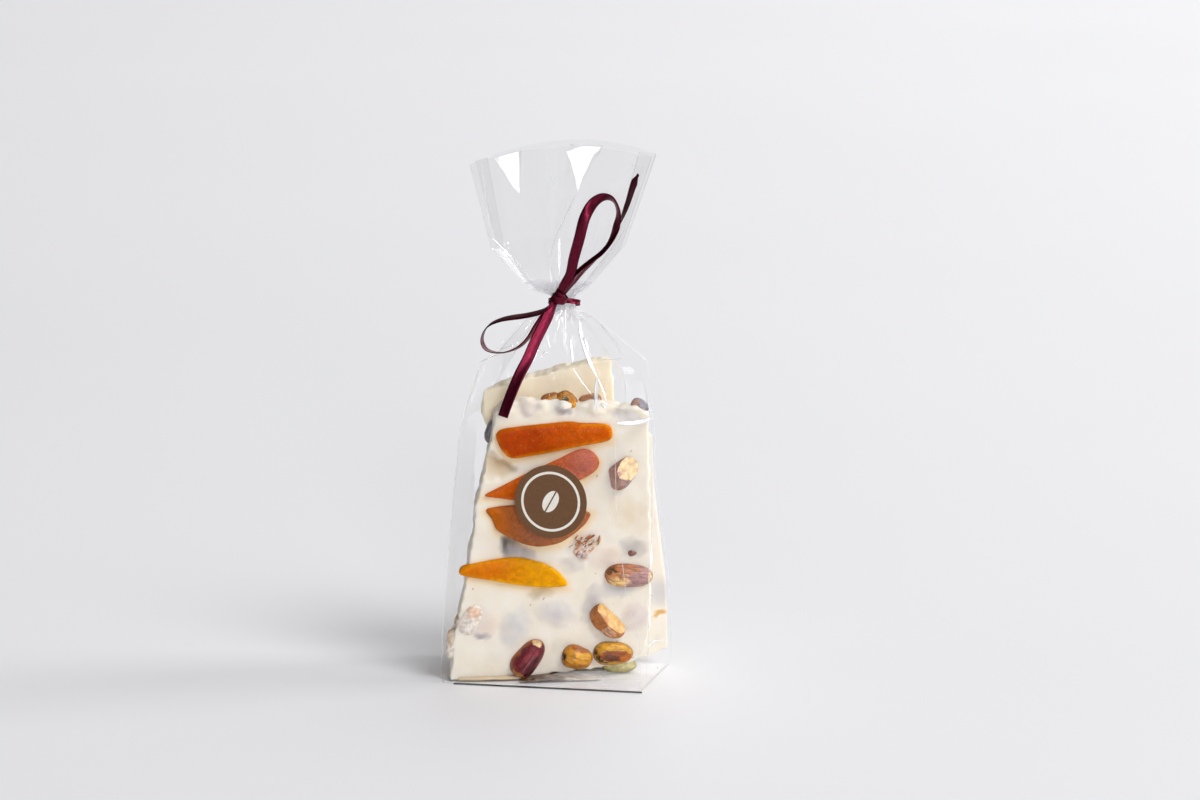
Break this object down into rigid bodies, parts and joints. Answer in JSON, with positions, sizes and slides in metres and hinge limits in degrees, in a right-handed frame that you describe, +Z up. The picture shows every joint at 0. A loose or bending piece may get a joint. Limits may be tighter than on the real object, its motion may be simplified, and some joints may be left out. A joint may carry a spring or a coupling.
{
  "type": "tied bag of chocolate bark",
  "caption": "Clear block-bottom bag of white chocolate bark with nuts and dried apricot, gathered at the neck and tied with a satin ribbon bow, with a round paper seal.",
  "frame": {"origin": "middle of the flat base, on the surface that the bag stands on", "axes": "+Z up through the tied neck, +Y to the back, so the sealed front faces -Y, and +X to the right of the front"},
  "size_m": [0.0816, 0.0554, 0.2135],
  "materials": {
    "clear_film": "clear gloss",
    "satin_ribbon": "satin",
    "printed_paper": "matt print",
    "white_chocolate": "satin",
    "nut_kernel": "roasted skin",
    "dried_apricot": "moist"
  },
  "bodies": {
    "root": {"bag": "clear_film", "ribbon": "satin_ribbon", "seal": "printed_paper"}
  },
  "joints": []
}
